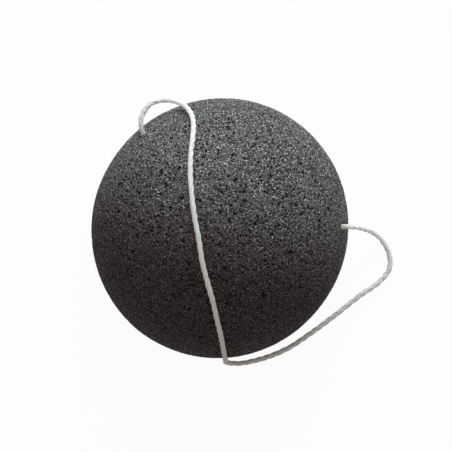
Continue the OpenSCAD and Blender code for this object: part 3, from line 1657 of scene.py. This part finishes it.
        turns, reach, around = self.section()
        drift = self.drift_turn * wander(self.drift_row, self.drift_mm)
        thick = self.thick_share * wander(self.thick_row, self.thick_mm)
        phase = self.twist.value * 2 * math.pi * runs / self.lay + drift
        radius = (1 + thick)[:, None] * reach
        rings = rings_round(path.centres, radius, phase[:, None] + turns, *path.sides())
        count, width = rings.shape[:2]
        parts.add(
            np.concatenate([rings.reshape(-1, 3), path.centres[[0, -1]]]),
            tube_faces(count, width),
            self.map_places(count, width),
            **self.skin_values(path, around, greyed_ends),
        )


@dataclass
class HangingLoop:
    """The free stretch of the cord, from the left mouth over the dome to the right one."""

    channel: Channel
    cord: CottonCord
    seed: int = 21
    # The cord is greyed over 20 mm from its left end and 5 mm from its right end.
    greyed_ends: tuple[float, float] = (20.0, 5.0)
    told_every: int = 4
    route: tuple[tuple[float, float, float], ...] = (
        (-24, 32, 15.4), (-23.4, 35.1, 13.4), (-20.8, 38.3, 11.4), (-17, 39.3, 10.8),
        (-13, 38.6, 13), (-10.2, 36.8, 17), (-8.5, 34.2, 21.5), (-7.8, 31, 26.1),
        (-8, 26.5, 30.5), (-8.5, 21, 34.4), (-8.5, 15, 37.4), (-8, 9, 39.4),
        (-7.2, 3, 40.4), (-6, -3.5, 40.5), (-5, -10, 39.6), (-3.5, -16, 37.8),
        (-2, -21.5, 35.1), (-0.8, -27, 31.2), (0.3, -32, 26.2), (1, -36.2, 20),
        (1.5, -39.2, 13.3), (1.8, -40.9, 8), (1.9, -41.5, 5), (3.5, -42, 2.4),
        (6.5, -42.1, 1), (10.4, -41.4, 0.9), (20.3, -37.9, 0.9), (28.4, -32.7, 0.9),
        (35.4, -27.5, 0.9), (43.9, -20.8, 0.9), (50, -16.4, 0.9), (52.8, -12.6, 0.9),
        (52.7, -8, 0.9), (50.6, -4, 2), (48, -1.8, 5.6), (44.8, -0.4, 10.8),
        (41, 0.4, 14.6),
    )

    def path(self) -> CordPath:
        """Lay the loop's line.

        Returns:
            The line from the left end inside the foam to the right one.
        """
        turn = self.channel.loop_turn
        points = np.array(
            [self.channel.point(-turn), *self.route, self.channel.point(turn)], float
        )
        first, last = -self.channel.heading(-turn), -self.channel.heading(turn)
        return CordPath.through(points, first, last, self.cord.ring_step)

    def build(self) -> bpy.types.Object:
        """Returns:
            The loop's piece.
        """
        path = self.path()
        parts = MeshParts()
        self.cord.lay_along(parts, path, self.seed, self.greyed_ends)
        fibres = self.cord.fibres.add_to(
            parts, path, self.cord.diameter, self.seed, self.channel.shape
        )
        loop = parts.build("hanging_cord", self.cord.material())
        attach(loop, BODY)
        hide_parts("hanging_loop")
        LOG.info("%s: %.1f mm long, %d stray fibres", loop.name, path.length, fibres)
        return loop


@dataclass
class InnerCord:
    """The cord inside the foam: two runs and the reef knot that closes the ring.

    The knot's sizes are shares of the cord's diameter.
    """

    channel: Channel
    cord: CottonCord
    bight_share: float = 1.7
    neck_share: float = 0.54
    rise_share: float = 0.6
    spread_share: float = 1.1
    tail_share: float = 1.2
    splay_share: float = 0.5
    reach_share: float = 4.4
    leg_steps: int = 12
    bend_steps: int = 10
    end_steps: int = 6
    run_points: int = 9
    first_seed: int = 40

    @property
    def knot_turn(self) -> float:
        """Turn along the channel at which the knot ends and the plain cord begins."""
        return self.reach_share * self.cord.diameter / self.channel.arc_r

    def strand_points(self) -> np.ndarray:
        """Trace one strand of the knot.

        It runs from the plain cord along its standing leg, round its bend and back
        along its tail.

        Returns:
            The points, about the knot's own middle.
        """
        d = self.cord.diameter
        bight, neck, rise = self.bight_share * d, self.neck_share * d, self.rise_share * d
        spread, tail, splay = self.spread_share * d, self.tail_share * d, self.splay_share * d
        end = spread + bight
        knot_x = self.channel.arc_r * math.sin(self.knot_turn)
        knot_y = self.channel.arc_r * (1 - math.cos(self.knot_turn))

        def smooth(s: np.ndarray) -> np.ndarray:
            """Ease a share from zero to one."""
            t = np.clip(s, 0, 1)
            return t * t * (3 - 2 * t)

        def leg_y(x: np.ndarray) -> np.ndarray:
            """Return a leg's distance from the middle line."""
            return neck + (bight - neck) * smooth((x + spread) / (2 * spread))

        def lift(x: np.ndarray) -> np.ndarray:
            """Return the strand's height over the knot's middle plane."""
            return rise * np.cos(math.pi * x / end)

        s = np.arange(self.end_steps) / self.end_steps
        x = -knot_x + (knot_x - end) * s
        lead = np.stack([x, knot_y + (neck - knot_y) * smooth(s), -rise * smooth(s)], 1)
        x = -end + (end + spread) * np.arange(self.leg_steps) / self.leg_steps
        leg = np.stack([x, leg_y(x), lift(x)], 1)
        turn = math.pi * np.arange(self.bend_steps + 1) / self.bend_steps
        bend_x = spread + bight * np.sin(turn)
        bend = np.stack([bend_x, bight * np.cos(turn), lift(bend_x)], 1)
        back = leg[::-1] * np.array([1, -1, 1])
        s = (np.arange(self.end_steps) + 1) / self.end_steps
        cut = np.stack([-end - tail * s, -neck - splay * smooth(s), np.full_like(s, -rise)], 1)
        return np.concatenate([lead, leg, bend, back, cut])

    def knot_paths(self) -> list[CordPath]:
        """Lay both strands of the knot, the second a half turn of the first.

        Returns:
            Their lines in the frame.
        """
        points = self.strand_points()
        turn = self.knot_turn
        start, stop = np.array([math.cos(turn), -math.sin(turn), 0.0]), np.array([-1.0, 0, 0])
        yaw = self.channel.yaw
        spin = np.array(
            [[math.cos(yaw), -math.sin(yaw), 0], [math.sin(yaw), math.cos(yaw), 0], [0, 0, 1]]
        )
        middle = self.channel.point(0)
        lines = []
        for mirror in (np.array([1.0, 1, 1]), np.array([-1.0, 1, -1])):
            places = (points * mirror) @ spin.T + middle
            first, last = spin @ (start * mirror), spin @ (stop * mirror)
            lines.append(CordPath.through(places, first, last, self.cord.ring_step))
        return lines

    def run_path(self, start: float, stop: float) -> CordPath:
        """Lay a plain run along the channel.

        Args:
            start: turn along the channel at which it begins.
            stop: turn at which it ends.

        Returns:
            Its line.
        """
        turns = np.linspace(start, stop, self.run_points)
        points = np.array([self.channel.point(turn) for turn in turns])
        ways = self.channel.heading(start), self.channel.heading(stop)
        return CordPath.through(points, ways[0], ways[1], self.cord.ring_step)

    def piece(self, name: str, node: str, paths: Sequence[CordPath]) -> bpy.types.Object:
        """Lay cord along lines and let it stand for a plain solid.

        Args:
            name: the new piece's name.
            node: the solid that it stands for.
            paths: the cord's lines.

        Returns:
            The piece.
        """
        parts = MeshParts()
        for seed, path in enumerate(paths, self.first_seed):
            self.cord.lay_along(parts, path, seed)
        made = parts.build(name, self.cord.material())
        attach(made, BODY)
        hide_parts(node)
        LOG.info("%s: %.1f mm of cord", name, sum(path.length for path in paths))
        return made

    def build(self) -> list[bpy.types.Object]:
        """Make both runs and the knot.

        Returns:
            The three pieces.
        """
        outer, inner = self.channel.loop_turn, self.knot_turn
        return [
            self.piece("inner_cord_left", "inner_run_left", [self.run_path(-outer, -inner)]),
            self.piece("inner_cord_right", "inner_run_right", [self.run_path(inner, outer)]),
            self.piece("reef_knot", "cord_knot", self.knot_paths()),
        ]


@dataclass(frozen=True)
class SoftBox:
    """A square soft box that faces the sponge.

    Turn is its compass angle from +Y towards +X and tilt its height angle, both seen
    from the sponge. Light is what a white card that faces it gives back, as a share of
    full white.
    """

    name: str
    turn: float
    tilt: float
    light: float
    tint: str = "#f0fcff"
    wide: float = 600.0
    far: float = 1200.0

    def build(self) -> bpy.types.Object:
        """Hang the lamp.

        Returns:
            The lamp.
        """
        lamp = bpy.data.lights.new(self.name, "AREA")
        lamp.shape = "SQUARE"
        lamp.size = self.wide * MM
        # A white card at this distance gives back the energy / (pi * far) ** 2.
        lamp.energy = self.light * (math.pi * self.far * MM) ** 2
        lamp.color = linear(self.tint)[:3]
        placed = add_object(self.name, lamp)
        flat = math.cos(self.tilt)
        way = Vector((flat * math.sin(self.turn), flat * math.cos(self.turn), math.sin(self.tilt)))
        placed.location = way * self.far * MM
        placed.rotation_euler = way.to_track_quat("Z", "Y").to_euler()
        return placed


@dataclass
class Studio:
    """White board, window light from behind, soft room light and the camera above."""

    camera_x: float = 1.89
    camera_y: float = 0.68
    camera_h: float = 600.0
    focal_px: float = 1922.0
    frame_px: float = 452.0
    sensor_mm: float = 36.0
    clip_m: tuple[float, float] = (0.01, 20.0)
    board_mm: float = 3000.0
    windows: tuple[SoftBox, ...] = (
        SoftBox("right_window", turn=math.radians(18), tilt=math.radians(11), light=0.7),
        SoftBox("left_window", turn=math.radians(-14), tilt=math.radians(12), light=0.44),
        SoftBox("roof_window", turn=math.radians(5), tilt=math.radians(42), light=0.32),
    )
    room_light: float = 0.37
    room_tint: str = "#fff5ec"
    room_shown: str = "#ffffff"
    board: WhiteBoard = field(default_factory=WhiteBoard)

    def camera(self) -> bpy.types.Object:
        """Hang the camera straight above, with the picture's top towards +Y.

        Returns:
            The camera, which is the scene's own.
        """
        lens = bpy.data.cameras.new("photo_camera")
        lens.sensor_width = self.sensor_mm
        lens.lens = self.focal_px / self.frame_px * self.sensor_mm
        lens.clip_start, lens.clip_end = self.clip_m
        camera = add_object("photo_camera", lens)
        camera.location = Vector((self.camera_x, self.camera_y, self.camera_h)) * MM
        bpy.context.scene.camera = camera
        return camera

    def floor(self) -> bpy.types.Object:
        """Lay the white board that the sponge rests on.

        Returns:
            The board, which isn't part of the object.
        """
        half = self.board_mm / 2 * MM
        mesh = bpy.data.meshes.new("white_board")
        square = [(-half, -half, 0), (half, -half, 0), (half, half, 0), (-half, half, 0)]
        mesh.from_pydata(square, [], [(0, 1, 2, 3)])
        mesh.materials.append(self.board.material())
        board = add_object("white_board", mesh)
        return board

    def room(self) -> bpy.types.World:
        """Fill the room with even light and show it as white.

        Returns:
            The world.
        """
        world = bpy.data.worlds.new("pale_room")
        world.use_nodes = True
        tree = world.node_tree
        tree.nodes.clear()
        seen = seen_rays(tree)
        strength = add_node(
            tree, "MapRange", {"Value": seen, "To Min": self.room_light, "To Max": 1.0}
        )
        tint = add_node(
            tree,
            "MixRGB",
            {"Fac": seen, "Color1": linear(self.room_tint), "Color2": linear(self.room_shown)},
        )
        sky = add_node(
            tree, "Background", {"Color": tint.outputs[0], "Strength": strength.outputs[0]}
        )
        add_node(tree, "OutputWorld", {"Surface": sky.outputs[0]})
        bpy.context.scene.world = world
        return world

    def build(self) -> None:
        """Set up camera, board, lights and the plain colour transform."""
        self.camera()
        self.floor()
        for window in self.windows:
            window.build()
        self.room()
        bpy.context.scene.view_settings.view_transform = "Standard"
        LOG.info("studio: camera %.0f mm above the board", self.camera_h)


def main() -> None:
    """Build the sponge in its frame."""
    logging.basicConfig(level=logging.INFO, format="%(name)s: %(message)s")
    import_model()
    Studio().build()
    channel = Channel()
    cord = CottonCord()
    pieces = [
        HangingLoop(channel, cord).build(),
        *InnerCord(channel, cord).build(),
        FoamBody(channel).build(),
    ]
    for piece in pieces:
        LOG.info("%s: %d faces", piece.name, len(piece.data.polygons))


if __name__ == "__main__":
    main()
